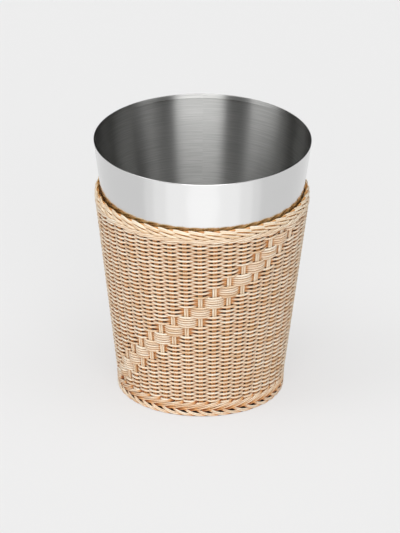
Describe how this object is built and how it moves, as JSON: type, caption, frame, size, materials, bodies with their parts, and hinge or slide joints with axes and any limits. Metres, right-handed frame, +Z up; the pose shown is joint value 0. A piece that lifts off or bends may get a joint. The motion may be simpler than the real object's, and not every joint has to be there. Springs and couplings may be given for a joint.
{
  "type": "wastebasket",
  "caption": "Round tapered wastebasket: a steel liner with a hemmed rim lifts out of a handwoven cane sleeve with a diagonal stripe and braided borders.",
  "frame": {"origin": "centre of the underside of the base, on the floor", "axes": "+Z up along the axis of the basket; the side with the diagonal stripe faces -Y"},
  "size_m": [0.26, 0.26, 0.32],
  "materials": {
    "cane": "natural round cane, clear matt finish",
    "plywood": "sanded plywood",
    "pad": "dark matt floor pad",
    "steel": "satin outside, fine brush lines around the inside"
  },
  "bodies": {
    "sleeve": {"weave_wall": "cane", "top_wale": "cane", "top_border": "cane", "foot_border": "cane", "base_board": "plywood", "base_pad": "pad", "stake_pair_01": "cane", "stake_pair_02": "cane", "stake_pair_03": "cane", "stake_pair_04": "cane", "stake_pair_05": "cane", "stake_pair_06": "cane", "stake_pair_07": "cane", "stake_pair_08": "cane", "stake_pair_09": "cane", "stake_pair_10": "cane", "stake_pair_11": "cane", "stake_pair_12": "cane", "stake_pair_13": "cane", "stake_pair_14": "cane", "stake_pair_15": "cane", "stake_pair_16": "cane", "stake_pair_17": "cane", "stake_pair_18": "cane", "stake_pair_19": "cane", "stake_pair_20": "cane", "stake_pair_21": "cane", "stake_pair_22": "cane", "stake_pair_23": "cane", "stake_pair_24": "cane", "stake_pair_25": "cane", "stake_pair_26": "cane", "stake_pair_27": "cane", "stake_pair_28": "cane", "stake_pair_29": "cane", "stake_pair_30": "cane", "stake_pair_31": "cane", "stake_pair_32": "cane", "stake_pair_33": "cane", "stake_pair_34": "cane", "stake_pair_35": "cane", "stake_pair_36": "cane", "stake_pair_37": "cane", "stake_pair_38": "cane", "stake_pair_39": "cane", "stake_pair_40": "cane", "stake_pair_41": "cane", "stake_pair_42": "cane"},
    "liner": {"liner_wall": "steel", "liner_floor": "steel"}
  },
  "joints": [
    {"name": "liner_lift", "type": "slide", "parent": "sleeve", "child": "liner", "axis": [0, 0, 1], "range_m": [0, 0.34]}
  ]
}
